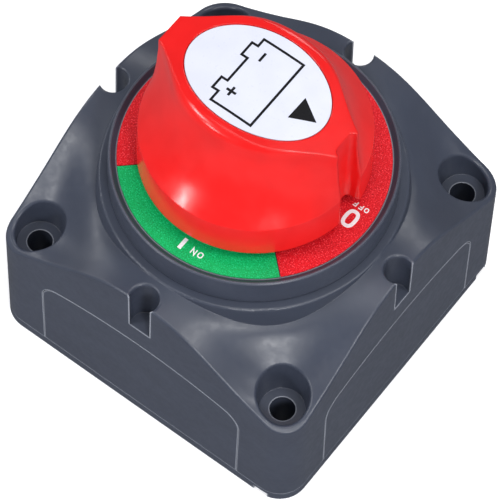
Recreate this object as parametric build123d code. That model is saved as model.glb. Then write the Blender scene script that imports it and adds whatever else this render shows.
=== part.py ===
from build123d import *
import math
import os

# Rotary battery isolator for surface mounting, knob up.
# Origin: centre of the underside. +Z runs up through the knob. -Y is the front, where the knob
# points when on, and +X is where it points when off. Lengths are in millimetres, angles in degrees.

# Case, outside
base_side = 69.0  # width and depth at the underside
overall_height = 75.0  # underside to the top of the knob
corner_radius = 5.8
wall_lean = 0.85  # angle of the side walls
crest_height = 42.3  # top edge at the middle of each side
corner_height = 30.0  # top face round the corner wells
crest_reach = 30.5  # distance from the middle of a side at which the crest has sunk to the corner height
crest_fall = 1.15  # how flat the crest stays before it falls away
swell_rise = 3.0  # swell where the top face meets the collar
swell_reach = 4.0
corner_droop = 0.058  # fall beyond the wells, per square millimetre
top_edge_round = 0.5
well_edge_round = 0.6
wall = 2.4
roof = 2.6

# Case, chamber and dial seat
chamber_floor = 25.3
chamber_wall = 1.75  # at the collar's rim
collar_spread = 1.45  # how much wider the collar is at its foot than at its rim
collar_lean = 7.0
collar_round = 0.5
ledge_height = 42.5
ledge_width = 1.7  # bezel ring to the collar's rim
dial_height = 48.2
dial_radius = 24.9
deck = 3.2
hub_radius = 9.0
hub_drop = 3.0
stop_inner = 10.5
stop_outer = 14.0
stop_drop = 4.0

# Corner wells and keyhole grooves
well_inset = 6.4  # centre of a well to the two outer faces
well_floor = 25.3
well_floor_radius = 4.25
well_rim_radius = 5.15
well_rim_height = 34.0
bolt_radius = 2.4  # M4 bolt
post_wall = 2.0
keyhole_inset = 2.0
keyhole_radius = 2.7
keyhole_floor = 31.7

# Base plate
base_thickness = 2.2
seam_bevel = 0.35
rib_height = 3.0
rib_thickness = 1.4
rib_half_length = 20.0
pry_width = 3.0
pry_height = 1.3
pry_depth = 0.8
pry_place = 28.5

# Side plates over the cable windows
plate_half_width = 22.75
plate_top = 25.9
plate_arch = 3.0
plate_corner = 4.5
plate_thickness = 1.5
plate_lip = 1.2
plate_gap = 0.12

# Bezel ring and dial film
bezel_thickness = 1.75
bezel_taper = 0.1
bezel_height = 6.55
bezel_rim_width = 0.5
bezel_rim_round = 0.25
film = 0.25
film_hole = 12.0
film_gap = 0.2
on_angle = -90.0
on_sweep = 95.0

# Terminal block and its fixings
flange_thickness = 3.0
gasket_thickness = 0.8
gasket_width = 2.4
block_spigot = 2.7  # above the case's chamber floor
block_gap = 0.3
screw_inset = 2.4  # centre of a screw to the chamber's bore
screw_radius = 1.45
screw_length = 13.5
screw_head_radius = 2.8
screw_head_height = 1.8
screw_boss_radius = 3.2
cross_width = 0.8
cross_length = 4.4
cross_depth = 1.0

# Studs and contacts
stud_spacing = 30.0
stud_radius = 5.0  # M10
thread_pitch = 1.5
thread_depth = 0.6
stud_end_height = 4.2
contact_side = 13.0
contact_round = 3.0
contact_rise = 2.0
contact_sink = 1.0
land_radius = 5.0
flat_washer_radius = 10.0
flat_washer_thickness = 2.0
spring_washer_radius = 8.5
spring_washer_thickness = 2.2
spring_washer_split = 1.0
spring_washer_lean = 25.0
nut_across_flats = 16.0
nut_height = 8.4
bar_end_gap = 1.5  # end of the moving contact to the screw bosses
bar_width = 12.0
bar_thickness = 3.0
bar_bevel = 0.3

# Rotor
bore_radius = 6.0
shaft_clearance = 0.05
running_gap = 0.1
washer_thickness = 0.8
washer_radius = 8.8
clip_thickness = 0.85
clip_radius = 7.6
clip_mouth = 8.0
groove_radius = 4.7
seal_section = 1.36
drive_side = 8.0
drive_depth = 2.6
drive_gap = 0.05
carrier_radius = 15.5
carrier_lift = 0.6  # carrier above the fixed contacts
bar_travel = 2.2  # room for the bar to lift
bar_side_gap = 0.2
spring_radius = 5.9
spring_wire = 0.9
spring_turns = 3
pocket_radius = 6.9
lug_half_angle = 12.0
lug_gap_angle = 1.4
lug_angle = 45.0
lug_side_gap = 0.3
lug_top_gap = 1.5

# Knob
knob_gap = 2.8  # dial film to the skirt
skirt_margin = 3.5  # skirt to the dial's edge
skirt_height = 7.6
skirt_lean = 2.5
grip_reach = 19.4
grip_end_half_width = 3.1
grip_half_width = 12.7
grip_shape = ((0.74, 0.36), (0.46, 0.79))  # along the reach, across from the end to the full width
flare = 2.1  # how late the flanks flare out towards the skirt's rim
grip_edge_round = 2.1
crown = 2.0  # fall of the top face from its middle to its ends
knob_wall = 2.4
knob_roof = 3.2
boss_radius = 7.5
boss_rib = 1.8
key_radius = 5.0
key_flats = 8.0
screw_seat_depth = 6.0
knob_screw_radius = 2.0
knob_screw_length = 14.0
knob_screw_head = 4.0
knob_screw_head_height = 2.6
knob_cross_length = 5.0
knob_cross_depth = 1.4
web = 2.5  # between the spindle's end and the screw's seat
notch_depth = 3.0  # pointer slot, from the skirt
notch_half_width = 2.7
notch_corner = 1.1
notch_flare = 1.3
label_length = 28.4
label_width = 19.7
label_thickness = 0.5
label_gap = 0.15
label_sink = 0.1

# Places that follow from the sizes
half_side = base_side / 2
bezel_radius = dial_radius + bezel_thickness
collar_radius = bezel_radius + ledge_width
chamber_outer = collar_radius + collar_spread
chamber_bore = collar_radius - chamber_wall
screw_circle = chamber_bore - screw_inset
screw_place = screw_circle / math.sqrt(2)
bar_length = 2 * (screw_circle - screw_boss_radius - bar_end_gap)
skirt_radius = dial_radius - skirt_margin
well_place = half_side - well_inset
keyhole_place = half_side - keyhole_inset
clear = overall_height  # more than any cut needs
spare = 1.0  # how far a cut runs past the face that it opens
gasket_bottom = chamber_floor - gasket_thickness
block_bottom = gasket_bottom - flange_thickness
block_top = chamber_floor + block_spigot
contact_top = block_top + contact_rise
bar_bottom = contact_top + shaft_clearance
bar_top = bar_bottom + bar_thickness
deck_bottom = dial_height - deck
upper_bore = dial_radius - wall
ledge_bottom = ledge_height - roof
hub_bottom = deck_bottom - hub_drop
seal_height = hub_bottom + deck
washer_top = hub_bottom - running_gap
clip_top = washer_top - washer_thickness
clip_bottom = clip_top - clip_thickness
carrier_top = clip_bottom - running_gap
drive_bottom = carrier_top - drive_depth
shaft_radius = bore_radius - shaft_clearance
stud_place = stud_spacing / 2
flange_radius = chamber_outer - running_gap
knob_bottom = dial_height + film + knob_gap
rim_height = knob_bottom + skirt_height
rim_radius = skirt_radius - skirt_height * math.tan(math.radians(skirt_lean))
crown_radius = (grip_reach**2 + crown**2) / (2 * crown)
screw_seat = overall_height - screw_seat_depth
spindle_top = screw_seat - web


def disc(radius, low, high, x=0.0, y=0.0):
    """Solid cylinder on a vertical axis between two heights."""
    return Pos(x, y, low) * Cylinder(radius, high - low, align=(Align.CENTER, Align.CENTER, Align.MIN))


def tube(inner, outer, low, high, x=0.0, y=0.0):
    return disc(outer, low, high, x, y) - disc(inner, low, high, x, y)


def taper(low_radius, high_radius, low, high, x=0.0, y=0.0):
    """Solid cone on a vertical axis between two heights."""
    solid = Cone(low_radius, high_radius, high - low, align=(Align.CENTER, Align.CENTER, Align.MIN))
    return Pos(x, y, low) * solid


def block(length, width, low, high, x=0.0, y=0.0):
    """Solid box centred on a vertical axis between two heights."""
    return Pos(x, y, low) * Box(length, width, high - low, align=(Align.CENTER, Align.CENTER, Align.MIN))


def sector(inner, outer, start, end, low, high):
    """Part of a ring between two angles and two heights."""
    outline = [
        CenterArc((0, 0), outer, start, end - start),
        CenterArc((0, 0), inner, start, end - start),
        Line(polar(inner, start), polar(outer, start)),
        Line(polar(inner, end), polar(outer, end)),
    ]
    return Pos(0, 0, low) * extrude(make_face(outline), amount=high - low)


def polar(radius, angle):
    return (radius * math.cos(math.radians(angle)), radius * math.sin(math.radians(angle)))


def quarters(shape):
    """The shape and its three copies turned about the axis by 90, 180 and 270 degrees."""
    return [Rot(0, 0, 90 * turn) * shape for turn in range(4)]


def four_corners(place):
    return [(place * across, place * along) for across in (-1, 1) for along in (-1, 1)]


def envelope(inset, low, high):
    """Leaning block of the case's outline, with all four sides moved in by the inset."""
    outline = RectangleRounded(base_side - 2 * inset, base_side - 2 * inset, corner_radius - inset)
    return extrude(outline, amount=high, taper=wall_lean) & block(2 * base_side, 2 * base_side, low, high)


# ---- case


def crest(distance):
    """1 at the middle of a side, falling smoothly to 0 towards the corners."""
    share = min(abs(distance) / crest_reach, 1.0)
    return math.cos(math.pi / 2 * share**crest_fall) ** 2


def top_face_height(x, y):
    radius = math.hypot(x, y)
    hollow = (1 - crest(x)) * (1 - crest(y))
    swell = swell_rise * math.exp(-(((radius - chamber_outer) / swell_reach) ** 2))
    droop = corner_droop * max(radius - well_place * math.sqrt(2), 0.0) ** 2
    return crest_height - (crest_height - corner_height) * hollow + swell * hollow - droop


def above_top_face(lowered):
    """Everything over the case's saddle-shaped top face, or over that face lowered by a thickness."""
    steps = 36
    reach = half_side + spare
    places = [reach * (2 * step / steps - 1) for step in range(steps + 1)]
    grid = [[Vector(x, y, top_face_height(x, y) - lowered) for x in places] for y in places]
    skin = Face.make_surface_from_array_of_points(grid, tol=0.02, min_deg=3, max_deg=5)
    return extrude(skin, amount=clear, dir=(0, 0, 1))


def case_outside():
    body = envelope(0, base_thickness, ledge_height + spare) - above_top_face(0)
    for groove in quarters(disc(keyhole_radius, keyhole_floor, clear, 0, -keyhole_place)):
        body = body - groove
    body = fillet(top_face(body).edges(), top_edge_round)
    for x, y in four_corners(well_place):
        body = body - corner_well(x, y)
    rims = [edge for wire in top_face(body).inner_wires() for edge in wire.edges()]
    body = fillet(rims, well_edge_round) + make_collar()
    body = body - disc(collar_radius, ledge_height, clear)
    return body + disc(dial_radius, ledge_bottom, dial_height)


def make_collar():
    """Chamber's outer wall, leaning in above the cable space to the rounded rim of its ledge."""
    collar_foot = ledge_height - (chamber_outer - collar_radius) / math.tan(math.radians(collar_lean))
    cone = taper(chamber_outer, collar_radius, collar_foot, ledge_height)
    rim = cone.faces().sort_by(Axis.Z)[-1].edges()
    return disc(chamber_outer, chamber_floor, collar_foot) + fillet(rim, collar_round)


def top_face(body):
    """Saddle-shaped top face, the highest of the body's faces."""
    return body.faces().sort_by(lambda face: face.center().Z)[-1]


def cable_space():
    """Hollow under the roof, outside the chamber, round the corner posts and the keyhole grooves."""
    space = envelope(wall, base_thickness, crest_height) - above_top_face(roof)
    space = space - disc(chamber_outer, chamber_floor, clear)
    groove_boss = disc(keyhole_radius + post_wall, keyhole_floor - post_wall, clear, 0, -keyhole_place)
    for boss in quarters(groove_boss):
        space = space - boss
    for x, y in four_corners(well_place):
        space = space - disc(bolt_radius + post_wall, base_thickness, clear, x, y)
        space = space - disc(well_rim_radius + post_wall, well_floor - post_wall, clear, x, y)
    return space


def chamber_space():
    """Hollow that holds the contacts, round the hub, the stop and the screw bosses."""
    space = disc(chamber_bore, chamber_floor, ledge_bottom) + disc(upper_bore, chamber_floor, deck_bottom)
    space = space - disc(hub_radius, hub_bottom, deck_bottom)
    stop_start = lug_angle + lug_half_angle + lug_gap_angle
    stop_bottom = deck_bottom - stop_drop
    space = space - sector(stop_inner, stop_outer, stop_start, 360 - stop_start, stop_bottom, deck_bottom)
    for x, y in four_corners(screw_place):
        space = space - disc(screw_boss_radius, block_top, clear, x, y)
    return space


def corner_well(x, y):
    well = taper(well_floor_radius, well_rim_radius, well_floor, well_rim_height, x, y)
    return well + disc(well_rim_radius, well_rim_height, clear, x, y) + disc(bolt_radius, 0, clear, x, y)


def make_case():
    case = case_outside() - cable_space() - chamber_space()
    case = case - disc(bore_radius, hub_bottom, clear)
    for x, y in four_corners(screw_place):
        case = case - disc(screw_radius, block_top, block_top + screw_length, x, y)
    for window in quarters(window_cut()):
        case = case - window
    return case


# ---- side plates and their windows


def plate_outline(inset, bottom):
    """Arched outline of a side plate on the front face, moved in by the inset at its top and sides."""
    half = plate_half_width - inset
    shoulder = plate_top - plate_arch - inset
    lines = [
        Line((-half, bottom), (half, bottom)),
        Line((half, bottom), (half, shoulder)),
        ThreePointArc((half, shoulder), (0, plate_top - inset), (-half, shoulder)),
        Line((-half, shoulder), (-half, bottom)),
    ]
    face = make_face(lines)
    tops = face.vertices().sort_by(Axis.Y)[-2:]
    return fillet(tops, plate_corner)


def through_wall(outline):
    """The outline as a bar along Y that passes through the front wall alone."""
    inside = block(base_side, base_side, 0, clear, 0, wall + spare)
    return Plane.XZ * extrude(outline, amount=half_side + spare) - inside


def window_cut():
    recess = through_wall(plate_outline(-plate_gap, 0)) - envelope(plate_thickness, 0, clear)
    return recess + through_wall(plate_outline(plate_lip, 0))


def make_side_plate():
    bottom = base_thickness + plate_gap
    cover = through_wall(plate_outline(0, bottom)) & envelope(0, 0, clear)
    cover = cover - envelope(plate_thickness, 0, clear)
    plug = through_wall(plate_outline(plate_lip + plate_gap, bottom)) & envelope(plate_thickness, 0, clear)
    return cover + (plug - envelope(wall, 0, clear))


# ---- base plate, bezel ring and dial film


def make_base_plate():
    plate = envelope(0, 0, base_thickness)
    plate = chamfer(plate.faces().sort_by(Axis.Z)[-1].edges(), seam_bevel)
    rib_place = half_side - wall - plate_gap - rib_thickness
    rib = block(2 * rib_half_length, rib_thickness, 0, base_thickness + rib_height, 0, -rib_place)
    pry = block(pry_width, 2 * pry_depth, 0, pry_height, pry_place, -half_side)
    for turned_rib, turned_pry in zip(quarters(rib), quarters(pry)):
        plate = plate + turned_rib - turned_pry
    for x, y in four_corners(well_place):
        plate = plate - disc(bolt_radius, 0, clear, x, y)
    return plate


def make_bezel_ring():
    inner = dial_radius + shaft_clearance
    top = ledge_height + bezel_height
    rim = bezel_radius - bezel_taper
    outline = Polyline(
        (inner, ledge_height),
        (bezel_radius - bezel_rim_round, ledge_height),
        (bezel_radius, ledge_height + bezel_rim_round),
        (rim, top - bezel_rim_round),
        (rim - bezel_rim_round, top),
        (rim - bezel_rim_width, top),
        (inner + film, dial_height),
        (inner, dial_height),
        close=True,
    )
    return revolve(Plane.XZ * make_face(outline), Axis.Z)


def make_dial_film(start, sweep):
    gap = math.degrees(film_gap / 2 / dial_radius)
    return sector(film_hole, dial_radius, start + gap, start + sweep - gap, dial_height, dial_height + film)


# ---- terminal block, studs and fixings


def make_terminal_block():
    body = disc(flange_radius, block_bottom, gasket_bottom)
    body = body + disc(chamber_bore - block_gap, gasket_bottom, block_top)
    for side in (-1, 1):
        body = body + disc(land_radius, block_top, contact_top, 0, side * stud_place)
        body = body - contact_head(side * stud_place, block_top - contact_sink)
        body = body - disc(stud_radius, block_bottom, block_top, side * stud_place)
    for x, y in four_corners(screw_place):
        body = body - disc(screw_radius + running_gap, block_bottom, block_top, x, y)
        seat = block_bottom + screw_head_height
        body = body - disc(screw_head_radius + running_gap, block_bottom, seat, x, y)
    return body


def contact_head(x, low):
    outline = RectangleRounded(contact_side, contact_side, contact_round)
    return Pos(x, 0, low) * extrude(outline, amount=contact_top - low)


def threaded_shank(low, high):
    """Stud shank with its thread drawn as a row of grooves."""
    core = stud_radius - thread_depth
    count = int((high - low) / thread_pitch)
    points = [(0, low), (core, low)]
    for turn in range(count):
        points.append((stud_radius, low + (turn + 0.5) * thread_pitch))
        points.append((core, low + (turn + 1) * thread_pitch))
    points += [(core, high), (0, high)]
    return revolve(Plane.XZ * make_face(Polyline(*points, close=True)), Axis.Z)


def make_terminal_stud(side):
    shank = threaded_shank(stud_end_height, block_bottom) + disc(stud_radius, block_bottom, block_top)
    return Pos(side * stud_place, 0, 0) * shank + contact_head(side * stud_place, block_top - contact_sink)


def make_flat_washer():
    return tube(stud_radius, flat_washer_radius, block_bottom - flat_washer_thickness, block_bottom)


def make_spring_washer():
    top = block_bottom - flat_washer_thickness
    ring = tube(stud_radius, spring_washer_radius, top - spring_washer_thickness, top)
    split = block(spring_washer_radius, spring_washer_split, -clear, clear, spring_washer_radius)
    return ring - Pos(0, 0, top) * Rot(spring_washer_lean, 0, 0) * split


def make_stud_nut():
    top = block_bottom - flat_washer_thickness - spring_washer_thickness
    low = top - nut_height
    inner = nut_across_flats / 2
    outline = RegularPolygon(inner, 6, major_radius=False)
    nut = Pos(0, 0, low) * extrude(outline, amount=nut_height)
    return (nut & taper(inner, inner + nut_height, low, top)) - disc(stud_radius, 0, top)


def stud_pair(fixing):
    return [Pos(side * stud_place, 0, 0) * fixing for side in (-1, 1)]


def make_block_screws():
    screws = []
    for x, y in four_corners(screw_place):
        head = disc(screw_head_radius, block_bottom, block_bottom + screw_head_height, x, y)
        head = head - cross_recess(cross_length, block_bottom, block_bottom + cross_depth, x, y)
        thread = disc(screw_radius, block_bottom + cross_depth, block_bottom + screw_length, x, y)
        screws.append(head + thread)
    return screws


def cross_recess(length, low, high, x=0.0, y=0.0):
    return block(length, cross_width, low, high, x, y) + block(cross_width, length, low, high, x, y)


# ---- rotor


def key(grow, low, high):
    """Round key with two flats that turns the spindle with the knob."""
    flats = block(2 * (key_radius + spare), key_flats + 2 * grow, low, high)
    return disc(key_radius + grow, low, high) & flats


def make_spindle():
    body = block(drive_side, drive_side, drive_bottom, carrier_top)
    body = body + disc(shaft_radius, carrier_top, knob_bottom) + key(0, knob_bottom, spindle_top)
    body = body - tube(groove_radius, shaft_radius + spare, clip_bottom, clip_top)
    half_groove = seal_section / 2 + shaft_clearance
    seal_groove_radius = shaft_radius - seal_section
    body = body - tube(seal_groove_radius, clear, seal_height - half_groove, seal_height + half_groove)
    return body - disc(knob_screw_radius, screw_seat - knob_screw_length, clear)


def make_shaft_seal():
    return Pos(0, 0, seal_height) * Torus(shaft_radius - seal_section / 2, seal_section / 2)


def make_retaining_clip():
    """Ring that slides into the spindle's groove from the side, open towards -X."""
    ring = tube(groove_radius, clip_radius, clip_bottom, clip_top)
    return ring - block(2 * clip_radius, clip_mouth, clip_bottom, clip_top, -clip_radius)


def make_thrust_washer():
    return tube(bore_radius, washer_radius, clip_top, washer_top)


def make_contact_carrier():
    body = disc(carrier_radius, contact_top + carrier_lift, carrier_top)
    slot_width = bar_width + 2 * bar_side_gap
    body = body - block(slot_width, 2 * carrier_radius, 0, bar_top + bar_travel)
    body = body - disc(pocket_radius, 0, drive_bottom) - block(drive_side, drive_side, 0, clear)
    lug = sector(
        stop_inner + lug_side_gap,
        stop_outer - lug_side_gap,
        lug_angle - lug_half_angle,
        lug_angle + lug_half_angle,
        carrier_top,
        deck_bottom - lug_top_gap,
    )
    return body + lug


def make_moving_contact():
    outline = Rot(0, 0, 90) * SlotOverall(bar_length, bar_width)
    bar = Pos(0, 0, bar_bottom) * extrude(outline, amount=bar_thickness)
    return chamfer(bar.faces().sort_by(Axis.Z)[0].edges(), bar_bevel)


def make_contact_spring():
    """Compression spring with its end turns ground flat."""
    height = drive_bottom - bar_top
    path = Helix(pitch=height / spring_turns, height=height, radius=spring_radius)
    wire = Plane(path @ 0, z_dir=path % 0) * Circle(spring_wire / 2)
    coil = Pos(0, 0, bar_top) * sweep(wire, path=path)
    return coil & disc(pocket_radius, bar_top, drive_bottom)


# ---- knob


def flare_share(height):
    """0 at the top of the grip, 1 where the flanks meet the skirt's rim, and more below it."""
    return ((overall_height - height) / (overall_height - rim_height)) ** flare


def edge_roll(height):
    """How far the outline draws in for the rounded top edge."""
    rise = max(height - (overall_height - grip_edge_round), 0.0)
    return grip_edge_round - math.sqrt(max(grip_edge_round**2 - rise**2, 0.0))


def grip_quarter():
    """Corners of a quarter of the grip's top outline, from its end to its middle."""
    points = [(grip_reach, grip_end_half_width)]
    for along, across in grip_shape:
        width = grip_end_half_width + across * (grip_half_width - grip_end_half_width)
        points.append((along * grip_reach, width))
    points.append((0.0, grip_half_width))
    return points


def spread_point(x, y, height, inset):
    """A point of the top outline moved out towards the round skirt, as far as its height asks."""
    radius = math.hypot(x, y)
    grown = radius + (rim_radius - radius) * flare_share(height) - edge_roll(height) - inset
    return Vector(x * grown / radius, y * grown / radius, height)


def knob_section(height, inset):
    """Outline of the knob at a height: two flanks and two ends."""
    quarter = grip_quarter()
    flank = quarter + [(-x, y) for x, y in reversed(quarter[:-1])]
    upper = [spread_point(x, y, height, inset) for x, y in flank]
    lower = [spread_point(-x, -y, height, inset) for x, y in flank]
    left = [upper[-1], spread_point(-grip_reach, 0, height, inset), lower[0]]
    right = [lower[-1], spread_point(grip_reach, 0, height, inset), upper[0]]
    return make_face([Spline(*upper), Spline(*left), Spline(*lower), Spline(*right)])


def knob_solid(inset):
    """Flared grip cut by the skirt's gently leaning wall, so that they meet in a crisp rim."""
    grip = overall_height - grip_edge_round - knob_bottom
    heights = [knob_bottom + grip * share for share in (0.0, 0.16, 0.32, 0.48, 0.64, 0.8, 0.92)]
    heights += [overall_height - grip_edge_round * (1 - share) for share in (0.0, 0.45, 0.75, 0.93, 1.0)]
    flared = loft([knob_section(height, inset) for height in heights])
    lean = (overall_height - knob_bottom) * math.tan(math.radians(skirt_lean))
    skirt = taper(skirt_radius - inset, skirt_radius - lean - inset, knob_bottom, overall_height)
    return flared & skirt


def under_crown(sunk):
    """Everything under the gently arched top face, or under that face lowered by a depth."""
    radius = crown_radius - sunk
    barrel = Cylinder(radius, 4 * skirt_radius, rotation=(90, 0, 0))
    return Pos(0, 0, overall_height - crown_radius) * barrel


def label_bar(grow):
    outline = Ellipse(label_length / 2 + grow, label_width / 2 + grow)
    return Pos(0, 0, screw_seat) * extrude(outline, amount=clear)


def pointer_slot(grow):
    """Slot at the knob's pointing end, with round inner corners and a mouth that opens into the skirt."""
    floor = skirt_radius - notch_depth - grow
    half = notch_half_width + grow
    mouth = skirt_radius - notch_flare
    corner = notch_corner + grow
    far = skirt_radius + spare
    side = []
    for hand in (-1, 1):
        side += [
            Line((floor, 0), (floor, hand * (half - corner))),
            RadiusArc((floor, hand * (half - corner)), (floor + corner, hand * half), hand * corner),
            Line((floor + corner, hand * half), (mouth, hand * half)),
            RadiusArc((mouth, hand * half), (skirt_radius, hand * (half + notch_flare)), -hand * notch_flare),
            Line((skirt_radius, hand * (half + notch_flare)), (far, hand * (half + notch_flare))),
            Line((far, hand * (half + notch_flare)), (far, 0)),
        ]
    return Pos(0, 0, knob_bottom - spare) * extrude(make_face(side), amount=clear)


def knob_hollow():
    space = knob_solid(knob_wall) & under_crown(knob_roof)
    space = space - pointer_slot(knob_wall) - disc(boss_radius, 0, clear)
    return space - block(2 * skirt_radius, boss_rib, 0, clear) - block(boss_rib, 2 * skirt_radius, 0, clear)


def make_knob():
    knob = knob_solid(0) & under_crown(0)
    knob = knob - knob_hollow() - pointer_slot(0)
    knob = knob - (label_bar(label_gap) - under_crown(label_thickness + label_sink))
    knob = knob - key(drive_gap, 0, spindle_top + drive_gap) - disc(knob_screw_radius, 0, clear)
    return knob - disc(knob_screw_head + running_gap, screw_seat, clear)


def make_knob_label():
    return (label_bar(0) & under_crown(label_sink)) - under_crown(label_sink + label_thickness)


def make_knob_screw():
    head = disc(knob_screw_head, screw_seat, screw_seat + knob_screw_head_height)
    head_top = screw_seat + knob_screw_head_height
    head = head - cross_recess(knob_cross_length, head_top - knob_cross_depth, head_top)
    return head + disc(knob_screw_radius, screw_seat - knob_screw_length, screw_seat)


def save(name, shape):
    solids = Compound(children=list(shape)) if isinstance(shape, list) else shape
    export_step(solids, f"parts/{name}.step")


def main():
    os.makedirs("parts", exist_ok=True)
    save("case", make_case())
    save("base_plate", make_base_plate())
    for name, plate in zip(("front", "right", "back", "left"), quarters(make_side_plate())):
        save(f"side_plate_{name}", plate)
    save("bezel_ring", make_bezel_ring())
    on_start = on_angle - on_sweep / 2
    save("dial_label_on", make_dial_film(on_start, on_sweep))
    save("dial_label_off", make_dial_film(on_start + on_sweep, 360 - on_sweep))
    save("terminal_block", make_terminal_block())
    save("block_gasket", tube(flange_radius - gasket_width, flange_radius, gasket_bottom, chamber_floor))
    save("block_screws", make_block_screws())
    save("terminal_stud_in", make_terminal_stud(-1))
    save("terminal_stud_out", make_terminal_stud(1))
    save("flat_washers", stud_pair(make_flat_washer()))
    save("spring_washers", stud_pair(make_spring_washer()))
    save("stud_nuts", stud_pair(make_stud_nut()))
    save("spindle", make_spindle())
    save("shaft_seal", make_shaft_seal())
    save("retaining_clip", make_retaining_clip())
    save("thrust_washer", make_thrust_washer())
    save("contact_carrier", make_contact_carrier())
    save("moving_contact", make_moving_contact())
    save("contact_spring", make_contact_spring())
    save("knob", make_knob())
    save("knob_label", make_knob_label())
    save("knob_screw", make_knob_screw())


main()
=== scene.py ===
"""Looks, printing, light and camera for the rotary battery isolator. Everything is in metres."""
import math

import bmesh
import bpy
from mathutils import Matrix, Vector


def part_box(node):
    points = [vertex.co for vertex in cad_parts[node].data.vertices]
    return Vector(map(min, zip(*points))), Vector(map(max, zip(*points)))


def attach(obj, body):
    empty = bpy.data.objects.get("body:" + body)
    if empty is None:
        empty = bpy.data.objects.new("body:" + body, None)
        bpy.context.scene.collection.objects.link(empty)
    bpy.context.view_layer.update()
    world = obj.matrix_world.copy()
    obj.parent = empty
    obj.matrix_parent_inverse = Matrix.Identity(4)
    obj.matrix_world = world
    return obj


MM = 0.001

# Camera: it looks down on the corner between the front and right sides
AZIMUTH = math.radians(35.022)
ELEVATION = math.radians(61.938)
ROLL = math.radians(2.368)
DISTANCE = 0.629575
TARGET = Vector((1.615, -2.752, 18.308)) * MM
SENSOR = 36.0
LENS = 241.41
CLIP_START = 0.01

# Light: each lamp's name, place, width, height and power in watts
LAMPS = (
    ("overhead", (0.10, -0.05, 0.90), 0.60, 0.60, 3.0),
    ("front_left", (-0.22, -0.56, 0.30), 0.06, 0.06, 0.6),
    ("left_corner", (-0.34, -0.40, 0.47), 0.12, 0.12, 1.1),
    ("front_right", (0.44, -0.34, 0.42), 0.12, 0.12, 1.9),
    ("left_edge", (-0.60, 0.02, 0.34), 0.10, 0.40, 0.7),
    ("right", (0.42, 0.10, 0.62), 0.14, 0.14, 1.2),
    ("back", (-0.18, 0.58, 0.40), 0.30, 0.16, 0.9),
)
ROOM_COLOUR = (0.90, 0.92, 0.97)
ROOM_STRENGTH = 0.20

# Floor
FLOOR_REACH = 3.0  # from the middle to each side
FLOOR_SQUARES = 8
FLOOR_GAP = 0.1 * MM  # below the object
FLOOR_GLOW = 0.30  # keeps the floor white under dim lamps

# Colours: each finish wanders between two tones
SLATE = ((0.042, 0.050, 0.075), (0.046, 0.055, 0.082))
EDGE_HIGHLIGHT_SLATE = (0.280, 0.300, 0.350)
KNOB_RED = ((0.71, 0.008, 0.008), (0.77, 0.010, 0.010))
LABEL_WHITE = ((0.66, 0.68, 0.80), (0.69, 0.71, 0.82))
GREEN_FILM, GREEN_SPARKLE = (0.001, 0.44, 0.115), (0.02, 0.62, 0.24)
RED_FILM, RED_SPARKLE = (0.70, 0.006, 0.014), (0.95, 0.07, 0.09)
BLACK = ((0.010, 0.010, 0.012), (0.022, 0.022, 0.025))
RUBBER = ((0.008, 0.008, 0.009), (0.024, 0.024, 0.026))
COPPER = (0.80, 0.55, 0.28)
DARK_STEEL = (0.56, 0.56, 0.58)
BRIGHT_STEEL = (0.66, 0.66, 0.68)
FLOOR_WHITE = ((0.93, 0.93, 0.94), (0.95, 0.95, 0.96))
BLACK_INK = (0.004, 0.004, 0.006)
WHITE_INK = (0.90, 0.88, 0.90)

# Painted highlight: edges of the grey plastic are painted paler, as if they catch the light
EDGE_REACH = 0.38 * MM
EDGE_FAINT, EDGE_FULL = 0.12, 0.45  # shares of inward rays cut short where the painted edge highlight starts and is full

# Printing
INK_LIFT = 0.03 * MM  # top of the ink above the film it is printed on
INK_DEPTH = 0.05 * MM
PICTURE_LINE = 0.46 * MM
SIGN_LINE = 0.48 * MM
DIAL_LINE = 0.72 * MM
LETTER_LINE = 0.21 * MM
LABEL_SLICE = 0.5 * MM  # how often ink on the crowned label is cut, to follow its curve
LABEL_TIP = 0.999  # share of the label's half length past which a point counts as its tip
RING_POINTS = 56
RING_SQUARENESS = 2.6  # 2 is an ellipse, and higher is squarer

# Battery picture, in millimetres from the knob's axis
PICTURE_LEFT, PICTURE_RIGHT = -5.5, 4.4
PICTURE_LOW, PICTURE_HIGH = -8.0, 7.35
SHOULDER = -4.2  # where the two posts meet the battery's body
POSTS = ((-5.8, -3.2), (2.55, 5.6))
MINUS = ((-2.2, 3.2), (-2.2, 5.2))
PLUS, PLUS_ARM = (-2.35, -4.55), 1.0
ARROW = ((8.5, 2.4), (8.4, -2.6), (12.8, -0.2))

# Dial marks, in millimetres from the knob's axis
OFF_RING, OFF_RING_HALVES = (21.25, 0.2), (1.0, 1.62)
ON_BAR = ((0.65, -20.9), (0.65, -23.3))
WORDS = (
    ("word_off", 0.92, (("O", 22.6, 3.25), ("F", 21.4, 3.25), ("F", 20.2, 3.25))),
    ("word_on", 1.15, (("O", 4.6, -22.1), ("N", 3.2, -22.2))),
)


# --- node helpers ---------------------------------------------------------------------------


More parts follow.
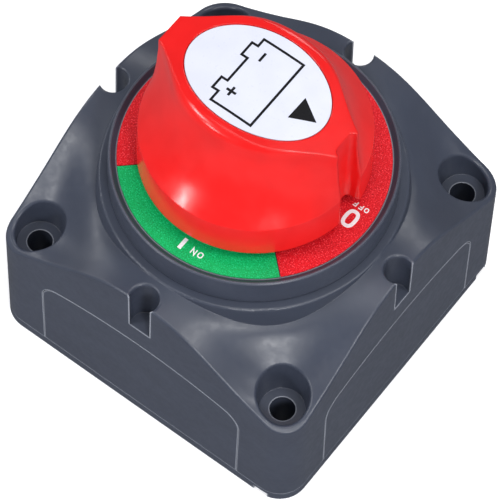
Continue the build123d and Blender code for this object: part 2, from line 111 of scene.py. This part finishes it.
class Shader:
    """A material under construction: one Principled shader and short calls that feed it."""

    MIX_FIRST, MIX_SECOND, MIX_RESULT = 6, 7, 2  # a Mix node's colour sockets

    def __init__(self, name, base, **sockets):
        self.material = bpy.data.materials.new(name)
        self.material.use_nodes = True
        self.tree = self.material.node_tree
        self.shader = self.tree.nodes["Principled BSDF"]
        self.shader.inputs["Base Color"].default_value = (*base, 1)
        for socket, value in sockets.items():
            self.shader.inputs[socket.replace("_", " ")].default_value = value
        self.coordinates = self.node("ShaderNodeTexCoord").outputs["Object"]

    def node(self, kind, **settings):
        made = self.tree.nodes.new(kind)
        for name, value in settings.items():
            setattr(made, name, value)
        return made

    def link(self, source, target):
        self.tree.links.new(source, target)

    def noise(self, size, detail=2.0, stretch=(1, 1, 1)):
        """Noise from 0 to 1 whose blotches are about size metres across."""
        place = self.node("ShaderNodeMapping")
        place.inputs["Scale"].default_value = stretch
        self.link(self.coordinates, place.inputs["Vector"])
        made = self.node("ShaderNodeTexNoise")
        made.inputs["Scale"].default_value = 1 / size
        made.inputs["Detail"].default_value = detail
        self.link(place.outputs["Vector"], made.inputs["Vector"])
        return made.outputs["Fac"]

    def ramp(self, value, low=0.0, high=1.0, start=0.3, end=0.7):
        """value mapped from start..end to low..high, smoothly."""
        made = self.node("ShaderNodeMapRange", interpolation_type="SMOOTHSTEP")
        made.inputs["From Min"].default_value = start
        made.inputs["From Max"].default_value = end
        made.inputs["To Min"].default_value = low
        made.inputs["To Max"].default_value = high
        self.link(value, made.inputs["Value"])
        return made.outputs["Result"]

    def mix(self, factor, first, second):
        """A colour from first to second, each either a colour or another node's output."""
        made = self.node("ShaderNodeMix", data_type="RGBA")
        self.link(factor, made.inputs["Factor"])
        for place, value in ((self.MIX_FIRST, first), (self.MIX_SECOND, second)):
            if isinstance(value, tuple):
                made.inputs[place].default_value = (*value, 1)
            else:
                self.link(value, made.inputs[place])
        return made.outputs[self.MIX_RESULT]

    def mottle(self, tones, size, detail=2.0, stretch=(1, 1, 1)):
        """A colour that wanders between two tones."""
        return self.mix(self.ramp(self.noise(size, detail, stretch)), *tones)

    def colour(self, output):
        self.link(output, self.shader.inputs["Base Color"])

    def roughness(self, output):
        self.link(output, self.shader.inputs["Roughness"])

    def bump(self, height, distance, strength, under=None):
        """Raises the surface by height times distance, over the normal under it if there is one."""
        made = self.node("ShaderNodeBump")
        made.inputs["Strength"].default_value = strength
        made.inputs["Distance"].default_value = distance
        self.link(height, made.inputs["Height"])
        if under:
            self.link(under, made.inputs["Normal"])
        self.link(made.outputs["Normal"], self.shader.inputs["Normal"])

    def rounded(self, radius):
        """The normal with edges rounded by radius."""
        made = self.node("ShaderNodeBevel", samples=6)
        made.inputs["Radius"].default_value = radius
        return made.outputs["Normal"]

    def edges(self, reach):
        """1 along outward edges, to about reach on each side, and 0 elsewhere."""
        near = self.node("ShaderNodeAmbientOcclusion", inside=True, only_local=True, samples=12)
        near.inputs["Distance"].default_value = reach
        away = self.node("ShaderNodeMath", operation="SUBTRACT")
        away.inputs[0].default_value = 1.0
        self.link(near.outputs["AO"], away.inputs[1])
        return self.ramp(away.outputs["Value"], start=EDGE_FAINT, end=EDGE_FULL)


def darker(colour, share):
    return tuple(share * part for part in colour)


# --- materials ------------------------------------------------------------------------------


def moulded_grey():
    """Satin slate-grey plastic: fine moulded grain, faint flow marks, and a painted highlight that
    makes its outward edges paler.
    """
    made = Shader("moulded_grey", SLATE[0], Specular_IOR_Level=0.5)
    tone = made.mottle(SLATE, 9 * MM, detail=3.0, stretch=(1, 1, 2.2))
    # painted highlight: outward edges are mixed towards a paler slate, as if catching the light
    made.colour(made.mix(made.edges(EDGE_REACH), tone, EDGE_HIGHLIGHT_SLATE))
    made.roughness(made.ramp(made.noise(1.2 * MM, detail=4.0), low=0.33, high=0.39))
    made.bump(made.noise(0.25 * MM), 0.006 * MM, 0.5, made.rounded(0.25 * MM))
    return made.material


def glossy_red():
    """Polished red plastic with the slight waviness of a thick moulding."""
    made = Shader("glossy_red", KNOB_RED[0], Specular_IOR_Level=0.5)
    made.colour(made.mottle(KNOB_RED, 7 * MM))
    made.roughness(made.ramp(made.noise(3 * MM, detail=3.0), low=0.20, high=0.26))
    made.bump(made.noise(5 * MM, detail=1.0), 0.05 * MM, 0.3, made.rounded(0.45 * MM))
    return made.material


def sparkling_film(name, deep, bright):
    """Printed dial film over a fine pearly grain."""
    made = Shader(name, deep, Specular_IOR_Level=0.25)
    grain = made.noise(0.24 * MM, detail=3.0)
    body = made.mottle((deep, darker(deep, 0.86)), 6 * MM)
    pits = made.ramp(grain, low=1, high=0, start=0.30, end=0.50)
    sparks = made.ramp(grain, start=0.54, end=0.68)
    made.colour(made.mix(sparks, made.mix(pits, body, darker(deep, 0.55)), bright))
    made.roughness(made.ramp(grain, low=0.35, high=0.55))
    made.bump(grain, 0.02 * MM, 0.7)
    return made.material


def label_film():
    """Smooth bluish-white label with a soft sheen."""
    made = Shader("label_film", LABEL_WHITE[0], Specular_IOR_Level=0.4)
    made.colour(made.mottle(LABEL_WHITE, 5 * MM))
    made.roughness(made.ramp(made.noise(0.6 * MM, detail=3.0), low=0.27, high=0.37))
    made.bump(made.noise(0.5 * MM), 0.006 * MM, 0.5)
    return made.material


def ink(name, base):
    """Screen-printed ink, slightly uneven."""
    made = Shader(name, base, Specular_IOR_Level=0.2)
    made.colour(made.mottle((base, darker(base, 0.88)), 0.4 * MM))
    made.roughness(made.ramp(made.noise(0.3 * MM), low=0.52, high=0.66))
    return made.material


def metal(name, base, grain, rough):
    """Plated or turned metal with fine machining lines round the Z axis."""
    made = Shader(name, base, Metallic=1.0)
    lines = made.noise(grain, detail=3.0, stretch=(0.15, 0.15, 4))
    made.colour(made.mottle((base, darker(base, 0.8)), 1.5 * MM, detail=3.0))
    made.roughness(made.ramp(lines, low=rough - 0.07, high=rough + 0.10))
    made.bump(lines, 0.01 * MM, 0.4, made.rounded(0.1 * MM))
    return made.material


def black_plastic():
    """Glass-filled black plastic with a matt, slightly fibrous surface."""
    made = Shader("black_plastic", BLACK[0])
    fibres = made.noise(0.5 * MM, detail=4.0, stretch=(1, 3, 1))
    made.colour(made.mix(made.ramp(fibres), *BLACK))
    made.roughness(made.ramp(fibres, low=0.42, high=0.6))
    made.bump(fibres, 0.01 * MM, 0.5, made.rounded(0.15 * MM))
    return made.material


def seal_rubber():
    """Soft black rubber with a dusty bloom."""
    made = Shader("seal_rubber", RUBBER[0])
    bloom = made.noise(1.2 * MM, detail=4.0)
    made.colour(made.mix(made.ramp(bloom), *RUBBER))
    made.roughness(made.ramp(bloom, low=0.6, high=0.8))
    made.bump(made.noise(0.2 * MM), 0.01 * MM, 0.5)
    return made.material


def floor_paint():
    """Plain pale backdrop with a barely visible mottle and a slight glow."""
    glow = {"Emission_Color": (1, 1, 1, 1), "Emission_Strength": FLOOR_GLOW}
    made = Shader("floor_paint", FLOOR_WHITE[0], **glow)
    made.colour(made.mottle(FLOOR_WHITE, 50 * MM))
    made.roughness(made.ramp(made.noise(20 * MM), low=0.65, high=0.75))
    return made.material


def dress(nodes):
    """Gives every CAD node its finish, by the material slot that the record names."""
    finishes = {
        "housing_plastic": moulded_grey(),
        "knob_plastic": glossy_red(),
        "label_film": label_film(),
        "green_film": sparkling_film("green_film", GREEN_FILM, GREEN_SPARKLE),
        "red_film": sparkling_film("red_film", RED_FILM, RED_SPARKLE),
        "black_plastic": black_plastic(),
        "seal_rubber": seal_rubber(),
        "contact_metal": metal("contact_metal", COPPER, grain=0.3 * MM, rough=0.28),
        "shaft_steel": metal("shaft_steel", DARK_STEEL, grain=0.25 * MM, rough=0.30),
        "fixing_steel": metal("fixing_steel", BRIGHT_STEEL, grain=0.2 * MM, rough=0.24),
    }
    for piece in nodes.values():
        slots = piece.data.materials
        for index, old in enumerate(slots):
            slots[index] = finishes[old.name.split(".")[0]]


# --- printed marks --------------------------------------------------------------------------


def mm_points(pairs):
    return [(x * MM, y * MM) for x, y in pairs]


def corner_offsets(points, closed, half):
    """For each point of a line, the sideways step to the edge of its stroke, mitred at corners."""
    count = len(points)
    steps = []
    for i, here in enumerate(points):
        before = points[i - 1] if i or closed else None
        after = points[(i + 1) % count] if i < count - 1 or closed else None
        sides = []
        for a, b in ((before, here), (here, after)):
            if a is not None and b is not None:
                along = (b - a).normalized()
                sides.append(Vector((-along.y, along.x)))
        middle = sum(sides, Vector((0, 0))).normalized()
        steps.append(middle * half / middle.dot(sides[0]))
    return steps


def stroke(mesh, points, width, closed=False):
    """Adds a flat ribbon of that width along points to mesh."""
    points = [Vector(p) for p in points]
    steps = corner_offsets(points, closed, width / 2)
    left = [mesh.verts.new((*(p + s), 0)) for p, s in zip(points, steps)]
    right = [mesh.verts.new((*(p - s), 0)) for p, s in zip(points, steps)]
    for i in range(len(points) if closed else len(points) - 1):
        j = (i + 1) % len(points)
        mesh.faces.new((left[i], right[i], right[j], left[j]))


def fill(mesh, points):
    mesh.faces.new([mesh.verts.new((*p, 0)) for p in points])


def thicken(mesh):
    """Turns the flat shapes into solids of ink, with their undersides at z = 0."""
    bmesh.ops.recalc_face_normals(mesh, faces=mesh.faces)
    for face in mesh.faces:
        if face.normal.z < 0:
            face.normal_flip()
    flat = list(mesh.faces)
    raised = bmesh.ops.extrude_face_region(mesh, geom=flat)["geom"]
    tops = [v for v in raised if isinstance(v, bmesh.types.BMVert)]
    bmesh.ops.translate(mesh, verts=tops, vec=(0, 0, INK_DEPTH))
    bmesh.ops.recalc_face_normals(mesh, faces=mesh.faces)


def slice_across(mesh, step):
    """Cuts the ink on lines of constant x, so that it can follow a surface curved that way."""
    ends = [v.co.x for v in mesh.verts]
    for i in range(math.ceil(min(ends) / step), math.ceil(max(ends) / step)):
        parts = list(mesh.verts) + list(mesh.edges) + list(mesh.faces)
        bmesh.ops.bisect_plane(mesh, geom=parts, plane_co=(i * step, 0, 0), plane_no=(1, 0, 0))


def print_on(name, mesh, height, material, body):
    """Makes a piece from mesh, lying with its top INK_LIFT above the surface z = height(x)."""
    for v in mesh.verts:
        v.co.z += height(v.co.x) + INK_LIFT - INK_DEPTH
    data = bpy.data.meshes.new(name)
    mesh.to_mesh(data)
    mesh.free()
    data.materials.append(material)
    piece = bpy.data.objects.new(name, data)
    bpy.context.scene.collection.objects.link(piece)
    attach(piece, body)


def ring_points(centre, half_x, half_y):
    """A rounded ring, squarer than an ellipse, like the letter O."""
    points = []
    for i in range(RING_POINTS):
        angle = 2 * math.pi * i / RING_POINTS
        c, s = math.cos(angle), math.sin(angle)
        x = half_x * math.copysign(abs(c) ** (2 / RING_SQUARENESS), c)
        y = half_y * math.copysign(abs(s) ** (2 / RING_SQUARENESS), s)
        points.append((centre[0] + x, centre[1] + y))
    return points


def letter_strokes(letter):
    """Strokes of a letter in a box 1 high and about 0.7 wide, with its origin at the centre."""
    w, h = 0.35, 0.5
    return {
        "F": [[(-w, -h), (-w, h), (w, h)], [(-w, 0.05), (0.7 * w, 0.05)]],
        "N": [[(-w, -h), (-w, h), (w, -h), (w, h)]],
        "O": [ring_points((0, 0), 0.36, 0.44)],
    }[letter]


def write_letter(mesh, letter, centre, size):
    """Draws one letter at centre, size high, with its top to the front, -Y."""
    for path in letter_strokes(letter):
        placed = [(centre[0] - size * x, centre[1] - size * y) for x, y in path]
        stroke(mesh, placed, LETTER_LINE, closed=letter == "O")


def battery_picture(label_height, black):
    """Battery outline with its two posts, a minus, a plus and the arrow to the current position."""
    points = [(PICTURE_RIGHT, PICTURE_LOW), (SHOULDER, PICTURE_LOW)]
    for start, end in POSTS:
        points += [(SHOULDER, start), (PICTURE_LEFT, start), (PICTURE_LEFT, end), (SHOULDER, end)]
    points += [(SHOULDER, PICTURE_HIGH), (PICTURE_RIGHT, PICTURE_HIGH)]
    outline = bmesh.new()
    stroke(outline, mm_points(points), PICTURE_LINE, closed=True)
    signs = bmesh.new()
    stroke(signs, mm_points(MINUS), SIGN_LINE)
    x, y = PLUS
    stroke(signs, mm_points([(x - PLUS_ARM, y), (x + PLUS_ARM, y)]), SIGN_LINE)
    for side in (-1, 1):
        near = y + side * SIGN_LINE / MM / 2
        stroke(signs, mm_points([(x, near), (x, y + side * PLUS_ARM)]), SIGN_LINE)
    arrow = bmesh.new()
    fill(arrow, mm_points(ARROW))
    marks = {"battery_outline": outline, "polarity_signs": signs, "position_arrow": arrow}
    for name, mesh in marks.items():
        thicken(mesh)
        slice_across(mesh, LABEL_SLICE)
        print_on(name, mesh, label_height, black, "rotor")


def dial_marks(dial_height, white):
    """O and OFF on the red film, I and ON on the green film. Their tops point to the front, -Y."""
    off = bmesh.new()
    ring = ring_points(OFF_RING, *OFF_RING_HALVES)
    stroke(off, mm_points(ring), DIAL_LINE, closed=True)
    on = bmesh.new()
    stroke(on, mm_points(ON_BAR), DIAL_LINE)
    marks = {"mark_off": off, "mark_on": on}
    for name, size, letters in WORDS:
        marks[name] = bmesh.new()
        for letter, x, y in letters:
            write_letter(marks[name], letter, (x * MM, y * MM), size * MM)
    for name, mesh in marks.items():
        thicken(mesh)
        print_on(name, mesh, dial_height, white, "housing")


def label_surface(label):
    """Height of the crowned label's top as a function of x: an arc over its middle and tips."""
    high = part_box("knob_label")[1]
    half = high.x
    tip = max(v.co.z for v in label.data.vertices if v.co.x > LABEL_TIP * half)
    rise = high.z - tip
    radius = (half * half + rise * rise) / (2 * rise)
    return lambda x: high.z - radius + math.sqrt(radius * radius - x * x)


# --- light, floor and camera ----------------------------------------------------------------


def area_light(name, place, width, height, power, aim):
    data = bpy.data.lights.new(name, "AREA")
    data.shape = "RECTANGLE"
    data.size = width
    data.size_y = height
    data.energy = power
    lamp = bpy.data.objects.new(name, data)
    lamp.location = place
    lamp.rotation_euler = (aim - Vector(place)).to_track_quat("-Z", "Y").to_euler()
    bpy.context.scene.collection.objects.link(lamp)


def light_scene(aim):
    """A dim pale room with soft lamps all round, so that gloss shows a few broad highlights."""
    world = bpy.data.worlds.new("studio")
    world.use_nodes = True
    background = world.node_tree.nodes["Background"]
    background.inputs["Color"].default_value = (*ROOM_COLOUR, 1)
    background.inputs["Strength"].default_value = ROOM_STRENGTH
    bpy.context.scene.world = world
    for lamp in LAMPS:
        area_light(*lamp, aim)


def lay_floor():
    """A wide floor just under the object, hidden from gloss, which would mirror it as a veil."""
    mesh = bmesh.new()
    squares = {"x_segments": FLOOR_SQUARES, "y_segments": FLOOR_SQUARES}
    bmesh.ops.create_grid(mesh, size=FLOOR_REACH, **squares)
    data = bpy.data.meshes.new("floor")
    mesh.to_mesh(data)
    mesh.free()
    data.materials.append(floor_paint())
    floor = bpy.data.objects.new("floor", data)
    floor.location.z = -FLOOR_GAP
    floor.visible_glossy = False
    bpy.context.scene.collection.objects.link(floor)


def set_camera():
    flat = math.cos(ELEVATION)
    place = (math.sin(AZIMUTH) * flat, -math.cos(AZIMUTH) * flat, math.sin(ELEVATION))
    back = Vector(place)
    level = Vector((0, 0, 1)).cross(back).normalized()
    upright = back.cross(level)
    right = level * math.cos(ROLL) + upright * math.sin(ROLL)
    up = upright * math.cos(ROLL) - level * math.sin(ROLL)
    data = bpy.data.cameras.new("camera")
    data.sensor_width = SENSOR
    data.lens = LENS
    data.clip_start = CLIP_START
    camera = bpy.data.objects.new("camera", data)
    bpy.context.scene.collection.objects.link(camera)
    turned = Matrix((right, up, back)).transposed().to_4x4()
    camera.matrix_world = Matrix.Translation(TARGET + back * DISTANCE) @ turned
    bpy.context.scene.camera = camera


# --- the scene ------------------------------------------------------------------------------

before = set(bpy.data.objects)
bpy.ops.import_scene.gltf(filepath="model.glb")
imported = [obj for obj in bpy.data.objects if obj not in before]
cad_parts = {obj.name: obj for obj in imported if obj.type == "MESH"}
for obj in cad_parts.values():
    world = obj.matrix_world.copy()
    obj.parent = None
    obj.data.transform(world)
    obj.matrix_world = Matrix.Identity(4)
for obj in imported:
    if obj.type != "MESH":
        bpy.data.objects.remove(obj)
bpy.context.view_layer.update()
dress(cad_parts)
label_height = label_surface(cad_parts["knob_label"])
battery_picture(label_height, ink("black_ink", BLACK_INK))
dial_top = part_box("dial_label_on")[1].z
dial_marks(lambda x: dial_top, ink("white_ink", WHITE_INK))
lay_floor()
light_scene((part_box("knob")[0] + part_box("case")[1]) / 2)
set_camera()
bpy.context.scene.view_settings.view_transform = "Standard"
